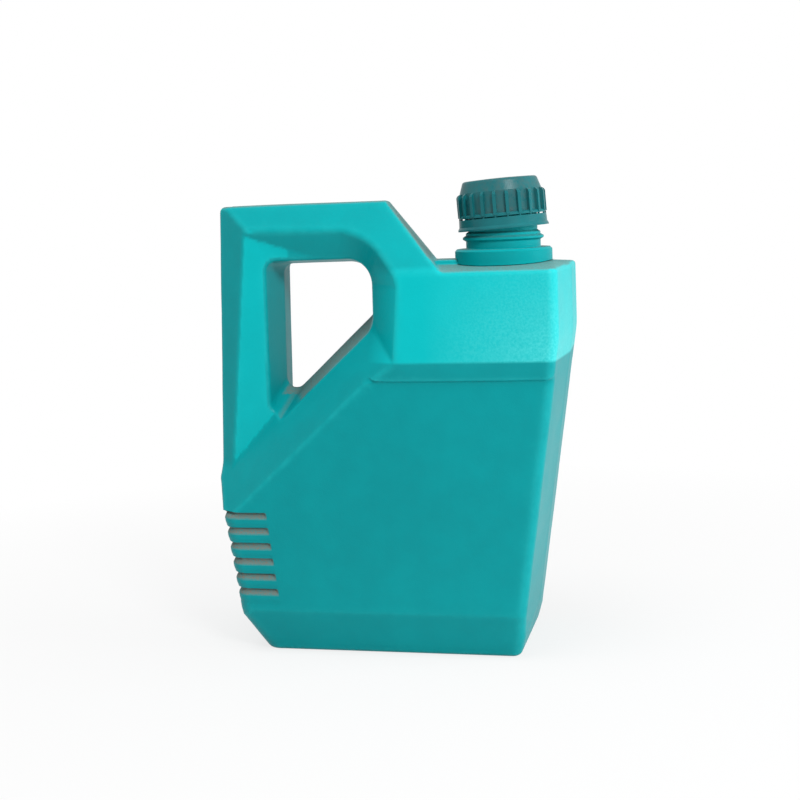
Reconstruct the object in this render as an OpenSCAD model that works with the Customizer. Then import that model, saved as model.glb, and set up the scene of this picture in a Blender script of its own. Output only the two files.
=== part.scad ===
/* [Overall body] */
// Length of the flat base, left of the middle
base_left = 77.5; // [60:0.5:95]
// Length of the flat base, right of the middle
base_right = 75.7; // [60:0.5:95]
// Half width at the top of the base bevel, right end
lower_right = 88.2; // [75:0.1:100]
// Half width at the top of the base bevel, left end
lower_left = 97.6; // [85:0.1:110]
// Height of the base bevel on the two ends
end_bevel_h = 24.5; // [10:0.5:40]
// Height of the base bevel on the two broad faces
face_bevel_h = 28.3; // [10:0.1:45]
// Run of the base bevel on the two broad faces
face_bevel_run = 10.5; // [4:0.5:20]
// Half width of the body at its widest, right end
wide_right = 113.3; // [100:0.1:130]
// Height where the right end stops flaring
flare_top_z = 197; // [150:1:210]
// Half width of the jug at its widest, left end
wide_left = 113.4; // [100:0.1:130]
// Height of the widest point of the left end
bulge_z = 109; // [95:1:125]
// Half width at the left end where the grip grooves begin
rib_left = 106.3; // [95:0.1:115]
// Height where the grip grooves begin
rib_zone_z = 88; // [70:1:100]
// Half depth of the broad lower panel
panel_y = 51.3; // [40:0.1:65]
// Draft of the right end from the middle plane to the broad faces
end_draft = 2.8; // [0:0.1:6]
// Wall thickness of the blown shell
wall = 1.4; // [0.8:0.1:3]
// Rounding radius of the outside edges
edge_r = 4; // [3:0.5:6]
// Radius of the tall corners at the left end
left_corner_r = 20; // [8:1:28]
// Radius of the tall corners at the right end
right_corner_r = 9; // [6:0.5:16]
// Depth of the recess under the base
foot_recess = 3; // [1:0.5:6]
// Width of the flat rim around the recess under the base
foot_rim = 16; // [10:1:24]

/* [Shoulder block] */
// Half depth of the shoulder block at its lower edge
block_y = 55.4; // [45:0.1:70]
// Half depth of the shoulder block at its upper edge
block_top_y = 54.3; // [45:0.1:70]
// Height of the lower edge of the block face
block_low_z = 184.5; // [150:0.5:210]
// Height of the crease under the block
crease_z = 172.2; // [140:0.2:200]
// Height of the shoulder at its front edge
shoulder_z = 238.3; // [215:0.1:260]
// Rise of the shoulder crown on the middle plane over the front edge
crown_rise = 3.1; // [0.5:0.1:8]
// Length of the fall of the shoulder at the right end
fall_run = 11.7; // [4:0.1:25]
// Drop of the shoulder crown at the right end
fall_drop = 3.8; // [1:0.1:8]
// Left edge of the block face, lower end, from the middle
block_left_low = 11.4; // [0:0.1:25]
// Left edge of the block face, upper end, from the middle
block_left_top = 15.4; // [0:0.1:30]

/* [Handle] */
// Height of the handle top over the crown of the shoulder
handle_rise = 40; // [30:0.5:55]
// Half width at the left end of the handle top
handle_left = 110.6; // [95:0.1:125]
// Right end of the handle top, from the middle
handle_right = -0.2; // [-20:0.1:20]
// Foot of the slope on the shoulder crown, from the middle
slope_foot = 30.3; // [20:0.1:45]
// Depth the slope face is dished along its middle
dish = 4.5; // [1:0.1:8]
// Half depth of the handle top
handle_top_y = 17.4; // [8:0.1:30]
// Half depth of the ridge along the grip
ridge_y = 29.2; // [20:0.1:40]
// Grip ridge at its upper end, left of the middle
ridge_top_x = 87.7; // [75:0.1:100]
// Distance of the ridge along the top bar below the handle top
ridge_drop = 16.2; // [8:0.1:24]
// Grip ridge at its lower end, left of the middle
ridge_low_x = 100.4; // [85:0.1:110]
// Height of the lower end of the grip ridge
ridge_low_z = 143.3; // [130:0.1:160]
// Half depth of the outer left edge of the grip
grip_edge_y = 13.8; // [6:0.1:24]
// Half depth of the handle at the inner edge of the grip
grip_inner_y = 26; // [18:0.1:36]

/* [Handle opening] */
// Left side of the opening on the middle plane, upper end, left of the middle
hole_left_top = 71.1; // [60:0.1:80]
// Left side of the opening on the middle plane, lower end, left of the middle
hole_left_low = 72.7; // [60:0.1:80]
// Thickness of the top bar over the opening on the middle plane
top_bar = 38; // [28:0.5:46]
// Right side of the opening on the middle plane, left of the middle
hole_right = 11.2; // [5:0.1:25]
// Height of the lower end of the slanted side on the middle plane
hole_low_z = 164.8; // [150:0.1:180]
// Widening of the opening from the middle plane to the faces, left side
hole_draft_left = 4.4; // [1:0.1:8]
// Widening of the opening from the middle plane to the faces, top
hole_draft_top = 2.9; // [1:0.1:8]
// Widening of the opening from the middle plane to the faces, right side
hole_draft_right = 4.1; // [1:0.1:8]
// Widening of the opening from the middle plane to the faces, slanted side
hole_draft_slant = 9; // [1:0.1:14]
// Corner radius at the upper right of the opening
hole_r_top = 16; // [6:0.5:22]
// Corner radius at the lower right of the opening
hole_r_low = 14; // [6:0.5:22]
// Corner radius at the pointed lower end of the opening
hole_r_tip = 7; // [4:0.5:12]
// Outer radius of the scooped corner at the upper right of the opening
scoop_r = 33.5; // [24:0.5:40]
// Outer radius of the scooped corner at the lower right of the opening
low_scoop_r = 20; // [14:0.5:26]
// Height of the centre of that corner over the lower edge of the block
low_scoop_rise = 28.1; // [20:0.1:36]
// Lower end of the slanted ridge, left of the middle
slant_low_x = 88.5; // [75:0.1:100]
// Height of the lower end of the slanted ridge
slant_low_z = 98.5; // [85:0.1:115]
// Upper end of the slanted ridge, left of the middle
slant_top_x = 7; // [0:0.1:15]
// Width across the slanted band beside the opening
slant_band = 24.3; // [15:0.1:35]

/* [Grip grooves] */
// Number of grooves round the lower left corner
groove_n = 6; // [3:1:8]
// Height of the top groove
groove_top_z = 90.6; // [80:0.1:96]
// Spacing of the grooves
groove_pitch = 9.75; // [8:0.05:11]
// Depth of a groove
groove_d = 2.4; // [1:0.1:3.2]
// Right end of the top groove on the broad face, left of the middle
groove_end_top = 75.8; // [65:0.1:85]
// Right end of the bottom groove on the broad face, left of the middle
groove_end_low = 70.5; // [60:0.1:80]

/* [Neck] */
// Distance of the neck axis from the right end
neck_inset = 42; // [36:0.1:50]
// Collar diameter
collar_d = 60.1; // [56:0.1:66]
// Height of the collar over the crown of the shoulder
collar_h = 7.7; // [4:0.1:12]
// Width of the web between the slope and the collar
web_w = 28; // [10:0.5:40]
// Height of the web over the crown of the shoulder
web_h = 2.3; // [1:0.1:5]
// Diameter of the plain neck
neck_d = 46; // [40:0.1:50]
// Height of the neck rim over the collar
neck_h = 28.2; // [24:0.1:34]
// Reach of the bead beyond the plain neck
bead_reach = 1.95; // [1:0.05:3]
// Height of the bead centre over the collar
bead_rise = 6.6; // [4:0.1:9]
// Step from the plain neck in to the neck between its threads
neck_step = 1.8; // [1:0.1:3]
// Wall of the neck
neck_wall = 2; // [1.4:0.1:3]
// Depth of the threads
thread_d = 1.5; // [1:0.1:1.6]
// Rise of the thread in one full turn
thread_lead = 12; // [8:0.5:14]
// Number of thread starts
thread_starts = 2; // [1:1:3]

/* [Cap] */
// Height of the cap
cap_h = 30.5; // [26:0.1:34]
// Wall of the cap skirt
skirt_wall = 1.3; // [0.9:0.1:1.6]
// Clearance between the neck threads and the cap skirt
thread_gap = 1; // [0.4:0.1:1.6]
// Wall of the tamper band
band_wall = 0.8; // [0.5:0.1:1.4]
// Reach of the ribs beyond the tamper band
rib_reach = 0.5; // [0.2:0.1:1]
// Reach of the lip inside the lower edge of the band
band_lip = 0.5; // [0.2:0.1:1]
// Clearance between the bead of the neck and the lip of the band
band_gap = 0.6; // [0.3:0.1:1.2]
// Reach of the flared lower edge beyond the ribs
flare_reach = 0.65; // [0.2:0.05:2]
// How far the cap cone draws in to its top
cone_in = 2.35; // [1:0.05:4]
// Thickness of the cap top
top_wall = 1.6; // [1.2:0.1:3]
// Number of cap ribs
rib_n = 22; // [12:1:36]
// Width of one cap rib
rib_w = 2; // [1:0.1:3.5]
// Height of the tamper band
band_h = 6.9; // [4:0.1:9]
// Height of the slit over the tamper band
slit_h = 0.8; // [0.4:0.1:1.5]
// Width of one bridge across the slit
bridge_w = 0.9; // [0.5:0.1:1.5]
// Lean of the loosely set cap in degrees
cap_lean = 3.35; // [0:0.05:3.5]
// Depth below the neck rim of the point about which the cap leans
lean_drop = 9.3; // [3:0.1:14]
// Height of the lower edge of the cap above the collar
cap_raise = 12.1; // [11.6:0.1:13]
// Clearance left between the cap and its liner
fit_gap = 0.3; // [0.2:0.05:0.6]
// Thickness of the cap liner
liner_t = 1.5; // [0.8:0.1:2]

/* [Hidden] */
$inset = 0;

big = 400;
root2 = sqrt(2);
thread_turn = 17;
crown_z = shoulder_z + crown_rise;
fall_z = crown_z - fall_drop;
handle_z = crown_z + handle_rise;
ridge_z = handle_z - ridge_drop;
hole_top = handle_z - top_bar;
fall_x = wide_right - fall_run;
neck_x = wide_right - neck_inset;
collar_z = crown_z + collar_h;
bead_z = collar_z + bead_rise;
rim_z = collar_z + neck_h;
lean_z = rim_z - lean_drop;
bead_d = neck_d + 2 * bead_reach;
finish_d = neck_d - 2 * neck_step;
skirt_d = finish_d + 2 * (thread_d + thread_gap + skirt_wall);
band_d = bead_d + 2 * (band_gap + band_lip);
rib_d = band_d + 2 * (band_wall + rib_reach);
flare_d = rib_d + 2 * flare_reach;
crown_d = skirt_d - 2 * cone_in;
rib_base_z = band_h + slit_h + 1.6;
cone_z = cap_h - 7.6;
ceiling_z = cap_h - top_wall;
cap_pivot_z = (lean_z - collar_z - cap_raise) / cos(cap_lean);
slope_len = norm([slope_foot - handle_right, crown_z - handle_z]);
slope_n = [handle_z - crown_z, slope_foot - handle_right] / slope_len;
slant_len = norm([slant_low_x - slant_top_x, slant_top_z() - slant_low_z]);
slant_u = [slant_low_x - slant_top_x, slant_top_z() - slant_low_z] / slant_len;
hole_front_y = ridge_y - 0.5;
dish_y = block_top_y - 4;

// Height where the slanted ridge meets the crease under the block
function slant_top_z() = crease_z + 0.6;

// Depth of the upper sloping facet at a height
function facet_y(z) = handle_top_y
    + (handle_z - z) * (block_top_y - handle_top_y) / (handle_z - shoulder_z);

// Left end of the lower body at a height
function left_x(z) = z > end_bevel_h
    ? lower_left + (rib_left - lower_left) * (z - end_bevel_h) / (rib_zone_z - end_bevel_h)
    : lower_left;

// Everything beyond a plane with outward direction u, moved inwards by the inset
module beyond_dir(a, u) {
    translate(a - $inset * u)
        rotate([0, acos(u[2]), atan2(u[1], u[0])])
            translate([-big, -big, 0])
                cube([2 * big, 2 * big, big]);
}

// Unit normal of the plane through three points
function normal(a, b, c) = cross(b - a, c - a) / norm(cross(b - a, c - a));

// Everything in front of the plane through three points
module beyond(a, b, c) {
    n = normal(a, b, c);
    beyond_dir(a, n[1] > 0 ? -n : n);
}

// Everything above the plane through three points
module above(a, b, c) {
    n = normal(a, b, c);
    beyond_dir(a, n[2] < 0 ? -n : n);
}

// Outward normal of the face through an edge and a point, with the other face's point inside
function face_n(e1, e2, own, other) =
    let (n = normal(e1, e2, own))
    n * (other - e1) > 0 ? -n : n;

// Facets that round the outward edge from e1 to e2 between the faces through pa and pb
module soft_edge(e1, e2, pa, pb, r) {
    na = face_n(e1, e2, pa, pb);
    nb = face_n(e1, e2, pb, pa);
    axis = e1 - r * (na + nb) / (1 + na * nb);
    for (t = [1 / 3, 2 / 3]) {
        m = (1 - t) * na + t * nb;
        beyond_dir(axis + r * m / norm(m), m / norm(m));
    }
}

// Front view outline with sharp corners
module outline() {
    polygon([
        [-base_left, 0],
        [base_right, 0],
        [lower_right, end_bevel_h],
        [wide_right, flare_top_z],
        [wide_right, fall_z],
        [fall_x, crown_z],
        [slope_foot + dish / slope_n[0], crown_z],
        [handle_right + dish / slope_n[0], handle_z],
        [-handle_left, handle_z],
        [-wide_left, bulge_z],
        [-rib_left, rib_zone_z],
        [-lower_left, end_bevel_h]
    ]);
}

// Planes that shape the front of the jug
module front_cuts() {
    top_edge = [0, -handle_top_y, handle_z];
    brow = [0, -block_top_y, shoulder_z];
    block_edge = [0, -block_y, block_low_z];
    base_edge = [0, face_bevel_run - panel_y, 0];
    along = [10, 0, 0];
    beyond(top_edge, top_edge + along, brow);
    soft_edge(top_edge, top_edge + along, [0, 0, handle_z], brow, edge_r);
    beyond(block_edge, block_edge + along, brow);
    intersection() {
        beyond(block_edge, block_edge + along, [0, -panel_y, crease_z]);
        beyond([0, -panel_y, 0], [10, -panel_y, 0], [0, -panel_y, 10]);
    }
    beyond([0, -panel_y, face_bevel_h], [10, -panel_y, face_bevel_h], base_edge);
    soft_edge(base_edge, base_edge + along, [0, -panel_y, face_bevel_h], [0, 0, 0], edge_r);
    slope_edge();
    grip_cuts();
    right_cuts();
    left_cuts();
}

// Place along X of the dished slope at a depth and a height
function slope_x(y, z) = handle_right
    + (handle_z - z) * slope_n[1] / slope_n[0]
    + dish * abs(y) / dish_y / slope_n[0];

// Crowned shoulder and the dished slope that rises from it to the handle
module shoulder() {
    brow = [0, -block_top_y, shoulder_z];
    crown = [0, 0, crown_z];
    along = [10, 0, 0];
    intersection() {
        above_slope();
        union()
            for (s = [0, 1])
                mirror([0, s, 0]) {
                    beyond(brow, brow + along, crown);
                    soft_edge(brow, brow + along, [0, -block_y, block_low_z], crown, edge_r);
                }
    }
}

// Everything above both flat halves of the dished slope
module above_slope() {
    intersection_for(s = [-1, 1])
        above([handle_right, 0, handle_z], [slope_foot, 0, crown_z],
            [slope_x(dish_y, handle_z), s * dish_y, handle_z]);
}

// Rounded edge between the slope and the upper sloping facet
module slope_edge() {
    top = [slope_x(handle_top_y, handle_z), -handle_top_y, handle_z];
    low = [slope_x(block_top_y, shoulder_z), -block_top_y, shoulder_z];
    intersection() {
        soft_edge(top, low, [-60, -handle_top_y, handle_z], [handle_right, 0, handle_z], edge_r - 1);
        beyond([0, -block_top_y, shoulder_z], [10, -block_top_y, shoulder_z], [0, 0, crown_z]);
    }
}

// Outer left side of the grip
module grip_cuts() {
    ridge_a = grip_top();
    ridge_b = grip_low();
    edge_a = [-handle_left, -grip_edge_y, ridge_z];
    n = normal(ridge_a, ridge_b, edge_a);
    drop = (handle_left - wide_left) / (handle_z - bulge_z);
    edge_b = [edge_a[0] + 100 * drop, 0, ridge_z - 100];
    y_b = -edge_point_y(n, ridge_a, edge_b);
    intersection() {
        union() {
            beyond(ridge_a, ridge_b, edge_a);
            soft_edge(edge_a, [edge_b[0], y_b, edge_b[2]], ridge_a, [edge_a[0], 0, edge_a[2]], edge_r);
        }
        beyond(ridge_low(), ridge_high(), band_inner());
    }
    mitre_low = [edge_point_x(n, ridge_a, -facet_y(ridge_z), ridge_z), -facet_y(ridge_z), ridge_z];
    mitre_top = [edge_point_x(n, ridge_a, -handle_top_y, handle_z), -handle_top_y, handle_z];
    soft_edge(mitre_low, mitre_top, ridge_b, [-60, -handle_top_y, handle_z], edge_r);
}

// Depth where the plane through a with normal n passes the X and Z of p, as a positive number
function edge_point_y(n, a, p) = -(a[1] + (n[0] * (a[0] - p[0]) + n[2] * (a[2] - p[2])) / n[1]);

// X where the plane through a with normal n passes a depth and a height
function edge_point_x(n, a, y, z) = a[0] + (n[1] * (a[1] - y) + n[2] * (a[2] - z)) / n[0];

// Right end with its draft and tall rounded corners
module right_cuts() {
    x_face = wide_right - end_draft;
    x_low = lower_right - end_draft;
    beyond([wide_right, 0, flare_top_z], [wide_right, 0, 0], [x_face, -block_y, flare_top_z]);
    beyond([wide_right, 0, flare_top_z], [lower_right, 0, end_bevel_h],
        [x_face, -block_y, flare_top_z]);
    for (a = [22.5, 45, 67.5]) {
        corner_plane(a, right_corner_r, 1, x_face, fall_z, x_face, 0, block_y);
        corner_plane(a, right_corner_r, 1, x_face, flare_top_z, x_low, end_bevel_h, panel_y);
    }
    soft_edge([x_low, -panel_y, face_bevel_h], [base_right, face_bevel_run - panel_y, 0],
        [0, -panel_y, face_bevel_h], [lower_right, 0, end_bevel_h], right_corner_r);
}

// Tall rounded corner of the left end
module left_cuts() {
    for (a = [18, 36, 54, 72])
        corner_plane(a, left_corner_r, -1, rib_left, rib_zone_z, lower_left, end_bevel_h, panel_y);
    soft_edge([-lower_left, -panel_y, face_bevel_h], [-base_left, face_bevel_run - panel_y, 0],
        [0, -panel_y, face_bevel_h], [-lower_left, 0, end_bevel_h], left_corner_r);
}

// One tangent plane of a tall rounded corner
module corner_plane(a, r, side, x1, z1, x2, z2, y) {
    d = r * [side * cos(a), -sin(a), 0];
    c1 = [side * (x1 - r), r - y, z1];
    c2 = [side * (x2 - r), r - y, z2];
    beyond(c1 + d, c2 + d, c1 + d + [side * sin(a), cos(a), 0]);
}

// Direction out of the slanted side of the opening, seen from the front
function slant_out() = [slant_u[1], -slant_u[0]];

// Points on the ridge and on the inner edge of the slanted band
function ridge_low() = [-slant_low_x, -panel_y, slant_low_z];
function ridge_high() = [-slant_top_x, -panel_y, slant_top_z()];
function band_inner() = ridge_low()
    + [-slant_out()[0] * slant_band, panel_y - hole_front_y, -slant_out()[1] * slant_band];
function grip_top() = [-ridge_top_x, -ridge_y, ridge_z];
function grip_low() = [-ridge_low_x, -ridge_y, ridge_low_z];
function grip_inner() = [-hole_left_top - hole_draft_left + 1.5, -grip_inner_y, 207];
function block_low() = [block_left_low, -block_y, block_low_z];
function block_top() = [block_left_top, -block_top_y, shoulder_z];
function side_inner() = [-hole_right + hole_draft_right, -hole_front_y, block_low_z + 27.5];

// Inner and outer points of the scooped corner in direction b
function scoop_in(b) = [
    -hole_right + hole_draft_right - hole_r_top + (hole_r_top + 1) * cos(b),
    -hole_front_y + 8.2 * b / 90,
    hole_top - hole_r_top + (hole_r_top + 1) * sin(b)];
function scoop_z(b) = ridge_z - 0.7 - scoop_r + scoop_r * sin(b);
function scoop_out(b) = [
    block_left_low + 2 - scoop_r + scoop_r * cos(b),
    -min(block_y, facet_y(scoop_z(b))),
    scoop_z(b)];

// Sloping sides that lead from the front into the handle opening
module funnel() {
    intersection() {
        beyond(grip_top(), grip_low(), grip_inner());
        beyond(ridge_low(), ridge_high(), band_inner());
        beyond(block_low(), block_top(), side_inner());
        intersection_for(b = [22.5, 45, 67.5, 90])
            beyond(scoop_in(b), scoop_out(b), scoop_in(b) + [-10 * sin(b), 0, 10 * cos(b)]);
        intersection_for(b = [-16, -32])
            low_corner_plane(b);
    }
}

// Shallow cut that rounds the ridges round the funnel
module funnel_rim() {
    r = edge_r;
    rise = (block_top_y - handle_top_y) / (handle_z - shoulder_z);
    for (k = [0, 1])
        intersection() {
            rim_plane(grip_top(), grip_low(), [-handle_left, -grip_edge_y, ridge_z], grip_inner(), r, k);
            rim_plane(ridge_low(), ridge_high(), [0, -panel_y, slant_low_z], band_inner(), r, k);
            rim_plane(block_low(), block_top(), [60, -block_y, block_low_z], side_inner(), r, k);
            intersection_for(b = [22.5, 45, 67.5, 90])
                rim_plane(scoop_out(b), scoop_out(b) + [-10 * sin(b), 10 * rise * cos(b), 10 * cos(b)],
                    scoop_out(b) + [10 * cos(b), 10 * rise * sin(b), 10 * sin(b)], scoop_in(b), r, k);
        }
}

// One of the two facets that round an edge
module rim_plane(e1, e2, pa, pb, r, k) {
    na = face_n(e1, e2, pa, pb);
    nb = face_n(e1, e2, pb, pa);
    m = na * (2 - k) + nb * (1 + k);
    beyond_dir(e1 - r * (na + nb) / (1 + na * nb) + r * m / norm(m), m / norm(m));
}

// One facet of the rounded corner at the lower right of the opening
module low_corner_plane(b) {
    r = low_scoop_r;
    c = [-hole_right + hole_draft_right - r, block_low_z + low_scoop_rise];
    p = [c[0] + r * cos(b), -hole_front_y, c[1] + r * sin(b)];
    beyond(p, block_low() + [0.6, 0, 0], p + [-10 * sin(b), 0, 10 * cos(b)]);
}

// Opening through the handle, front half
module opening() {
    sx = slant_u[0];
    sz = slant_u[1];
    low = [-hole_left_low + 9.3, hole_low_z];
    lo_c = side_centre(low, hole_r_low, -hole_right);
    tip_c = tip_centre(low, hole_r_tip, -hole_left_low);
    top_c = [-hole_right - hole_r_top, hole_top - hole_r_top];
    intersection() {
        wall_plane([-hole_left_top, 0, hole_top], [-hole_left_low, 0, 170], [-hole_draft_left, 0, 0]);
        wall_plane([0, 0, hole_top], [10, 0, hole_top], [0, 0, hole_draft_top]);
        wall_plane([-hole_right, 0, 200], [-hole_right, 0, 210], [hole_draft_right, 0, 0]);
        wall_plane([low[0], 0, low[1]], [low[0] + 10 * sx, 0, low[1] + 10 * sz],
            [hole_draft_slant * sz, 0, -hole_draft_slant * sx]);
        intersection_for(b = [22.5, 45, 67.5])
            round_plane(b, top_c, hole_r_top, hole_draft_top);
        intersection_for(b = [-12, -24, -36])
            round_plane(b, lo_c, hole_r_low,
                hole_draft_right + (hole_draft_slant - hole_draft_right) * -b / 48);
        intersection_for(b = [203, 225, 247, 269, 291])
            round_plane(b, tip_c, hole_r_tip,
                hole_draft_left + (hole_draft_slant - hole_draft_left) * (b - 180) / 133);
        round_plane(135, [-hole_left_top + 5, hole_top - 5], 5, hole_draft_top);
    }
}

// Centre of a fillet between the slanted side and the right side
function side_centre(low, r, x) = [x - r,
    low[1] + (r + (x - r - low[0]) * slant_u[1]) / slant_u[0]];

// Centre of a fillet between the slanted side and the left side
function tip_centre(low, r, x) = [x + r,
    low[1] + (r + (x + r - low[0]) * slant_u[1]) / slant_u[0]];

// One flat side of the opening, widening towards the front
module wall_plane(a, b, widen) {
    beyond(a, b, a + widen + [0, -hole_front_y, 0]);
}

// One facet of a rounded corner of the opening
module round_plane(b, c, r, widen) {
    p = [c[0] + r * cos(b), 0, c[1] + r * sin(b)];
    t = [-10 * sin(b), 0, 10 * cos(b)];
    beyond(p, p + t, p + [widen * cos(b), -hole_front_y, widen * sin(b)]);
}

// Solid shape of the jug body, drawn smaller all round by the inset
module jug_form() {
    r = edge_r - $inset;
    difference() {
        rotate([90, 0, 0])
            translate([0, 0, $inset - block_y])
                linear_extrude(2 * (block_y - $inset))
                    offset(r = r, $fn = 32)
                        offset(delta = -$inset - r)
                            outline();
        for (s = [0, 1])
            mirror([0, s, 0]) {
                front_cuts();
                funnel();
                funnel_rim();
                opening();
            }
        shoulder();
        foot();
    }
}

// Recess under the base, enlarged by the inset
module foot() {
    half_y = panel_y - face_bevel_run - foot_rim + $inset;
    translate([foot_rim - base_left - $inset, -half_y, -big])
        cube([base_left + base_right - 2 * foot_rim + 2 * $inset, 2 * half_y,
            big + foot_recess + $inset]);
}

// Outside of the blown body
module skin() {
    jug_form($inset = 0);
}

// Inside of the blown body
module cavity() {
    jug_form($inset = wall);
}

// Section of a groove, a level upper side and a slanted lower side
module groove_section(depth, grow) {
    polygon([
        [-depth - grow, grow],
        [2, grow],
        [2, -depth * 1.25 - 2 - grow * root2],
        [0, -depth * 1.25 - grow * root2],
        [-depth - grow, -grow / 2]
    ]);
}

// Grooves that wrap the lower left corner
module grooves(grow) {
    r = left_corner_r;
    for (i = [0:groove_n - 1]) {
        z = groove_top_z - i * groove_pitch;
        x = left_x(z - groove_d / 2);
        x_end = groove_end_top + (groove_end_low - groove_end_top) * i / (groove_n - 1);
        translate([0, 0, z]) {
            translate([-x + r, panel_y, 0])
                rotate([90, 0, 90])
                    linear_extrude(x - r - x_end + grow)
                        groove_section(groove_d, grow);
            translate([-x + r, -panel_y, 0])
                mirror([0, 1, 0])
                    rotate([90, 0, 90])
                        linear_extrude(x - r - x_end + grow)
                            groove_section(groove_d, grow);
            translate([-x, panel_y - r, 0])
                rotate([90, 0, 0])
                    mirror([1, 0, 0])
                        linear_extrude(2 * (panel_y - r))
                            groove_section(groove_d, grow);
            for (s = [0, 1])
                mirror([0, s, 0])
                    translate([r - x, r - panel_y, 0])
                        rotate([0, 0, 180])
                            rotate_extrude(angle = 90, $fn = 64)
                                translate([r, 0])
                                    groove_section(groove_d, grow);
        }
    }
}

// Helical ridge made of straight facets
module helix(r_root, r_tip, w_root, w_tip, turns) {
    steps = ceil(turns * 28);
    pts = [for (i = [0:steps])
        let (a = 360 * turns * i / steps,
            f = min(1, (i + 0.15) / 3, (steps - i + 0.15) / 3),
            zc = thread_lead * turns * i / steps,
            rt = r_root + (r_tip - r_root) * f,
            wr = w_root * (0.35 + 0.65 * f) / 2,
            wt = w_tip * (0.35 + 0.65 * f) / 2)
        for (p = [[r_root, -wr], [rt, -wt], [rt, wt], [r_root, wr]])
            [p[0] * cos(a), p[0] * sin(a), zc + p[1]]];
    flip = r_tip < r_root;
    quads = [for (i = [0:steps - 1]) for (k = [0:3])
        [4 * i + k, 4 * i + (k + 1) % 4, 4 * i + 4 + (k + 1) % 4, 4 * i + 4 + k]];
    tris = [for (q = quads) for (h = [0, 1])
        h == 0 ? [q[0], q[1], q[2]] : [q[0], q[2], q[3]]];
    ends = [[3, 2, 1], [3, 1, 0],
        [4 * steps, 4 * steps + 1, 4 * steps + 2], [4 * steps, 4 * steps + 2, 4 * steps + 3]];
    all = concat(tris, ends);
    polyhedron(points = pts,
        faces = flip ? [for (t = all) [t[2], t[1], t[0]]] : all);
}

// Threads on the outside of the neck
module neck_threads() {
    z0 = bead_z + 6.6;
    for (k = [0:thread_starts - 1])
        translate([0, 0, z0])
            rotate([0, 0, thread_turn + k * 360 / thread_starts])
                helix(finish_d / 2 - 0.4, finish_d / 2 + thread_d, 2.8, 0.8, 1.05);
}

// Threads on the inside of the cap, half a spacing away from those of the neck
module cap_threads() {
    gap = thread_lead / thread_starts;
    start_z = cap_pivot_z + (bead_z + 6.6 - lean_z) / cos(cap_lean) + 1.5 * gap;
    r_in = skirt_d / 2 - skirt_wall;
    for (k = [0:thread_starts - 1])
        translate([0, 0, start_z])
            rotate([0, 0, thread_turn + k * 360 / thread_starts])
                helix(r_in + 0.4, r_in - thread_d - 0.1, 2.8, 0.8, 0.8);
}

// Outside of the collar and neck
module neck_outside() {
    rotate_extrude($fn = 96)
        polygon([
            [0, shoulder_z - 6],
            [collar_d / 2, shoulder_z - 6],
            [collar_d / 2, collar_z - 1.2],
            [collar_d / 2 - 1.2, collar_z],
            [neck_d / 2 + 0.6, collar_z],
            [neck_d / 2, collar_z + 0.6],
            [neck_d / 2, bead_z - 2],
            [bead_d / 2, bead_z - 0.8],
            [bead_d / 2, bead_z + 0.4],
            [neck_d / 2, bead_z + 1.6],
            [neck_d / 2, bead_z + 2.9],
            [finish_d / 2, bead_z + 4.1],
            [finish_d / 2, rim_z - 0.6],
            [finish_d / 2 - 0.6, rim_z],
            [0, rim_z]
        ]);
}

// Way down through the neck into the body
module neck_inside() {
    bore = finish_d / 2 - neck_wall;
    rotate_extrude($fn = 96)
        polygon([
            [0, shoulder_z - wall - 8],
            [collar_d / 2 - neck_wall, shoulder_z - wall - 8],
            [collar_d / 2 - neck_wall, collar_z - neck_wall - 1],
            [collar_d / 2 - neck_wall - 1, collar_z - neck_wall],
            [bore + 1, collar_z - neck_wall],
            [bore, collar_z - neck_wall + 1],
            [bore, rim_z + 1],
            [0, rim_z + 1]
        ]);
}

// Low web on the shoulder between the slope and the collar
module web() {
    translate([slope_foot - 3, -web_w / 2, crown_z - 5])
        cube([neck_x - slope_foot - collar_d / 2 + 6, web_w, web_h + 5]);
}

module bottle() {
    color([0, 0.62, 0.62])
        difference() {
            union() {
                difference() {
                    skin();
                    grooves(0);
                }
                web();
                translate([neck_x, 0, 0]) {
                    neck_outside();
                    neck_threads();
                }
            }
            difference() {
                cavity();
                grooves(wall);
            }
            translate([neck_x, 0, 0])
                neck_inside();
        }
}

// Places a piece on the leaning axis of the cap
module on_cap_axis() {
    translate([neck_x, 0, lean_z])
        rotate([0, -cap_lean, 0])
            translate([0, 0, -cap_pivot_z])
                children();
}

// Turned outside of the cap without ribs
module cap_outside() {
    r_band = flare_d / 2;
    r_ring = band_d / 2 + band_wall;
    r_skirt = skirt_d / 2;
    rotate_extrude($fn = 96)
        polygon([
            [0, 0],
            [r_band, 0],
            [r_band, 0.9],
            [r_ring + 0.3, 2.4],
            [r_ring, band_h + slit_h + 1.2],
            [r_ring - 0.6, rib_base_z + 0.2],
            [r_skirt, rib_base_z + 0.6],
            [r_skirt + 0.1, cone_z],
            [crown_d / 2 + 0.5, cap_h - 1.8],
            [crown_d / 2, cap_h - 0.9],
            [crown_d / 2 - 0.9, cap_h - 0.4],
            [crown_d / 4, cap_h],
            [0, cap_h]
        ]);
}

// Ribs round the cap, cut back at their upper ends
module cap_ribs() {
    r_out = rib_d / 2;
    r_skirt = skirt_d / 2;
    intersection() {
        union()
            for (i = [0:rib_n - 1])
                rotate([0, 0, 360 * (i + 0.5) / rib_n])
                    translate([r_skirt - 0.6, -rib_w / 2, rib_base_z - 1])
                        cube([r_out - r_skirt + 1, rib_w, cone_z - rib_base_z + 1]);
        rotate_extrude($fn = 96)
            polygon([
                [0, 0],
                [r_out, 0],
                [r_out, cone_z - 2.2],
                [r_out - 0.7, cone_z - 1],
                [r_skirt, cone_z],
                [0, cone_z]
            ]);
    }
}

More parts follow.
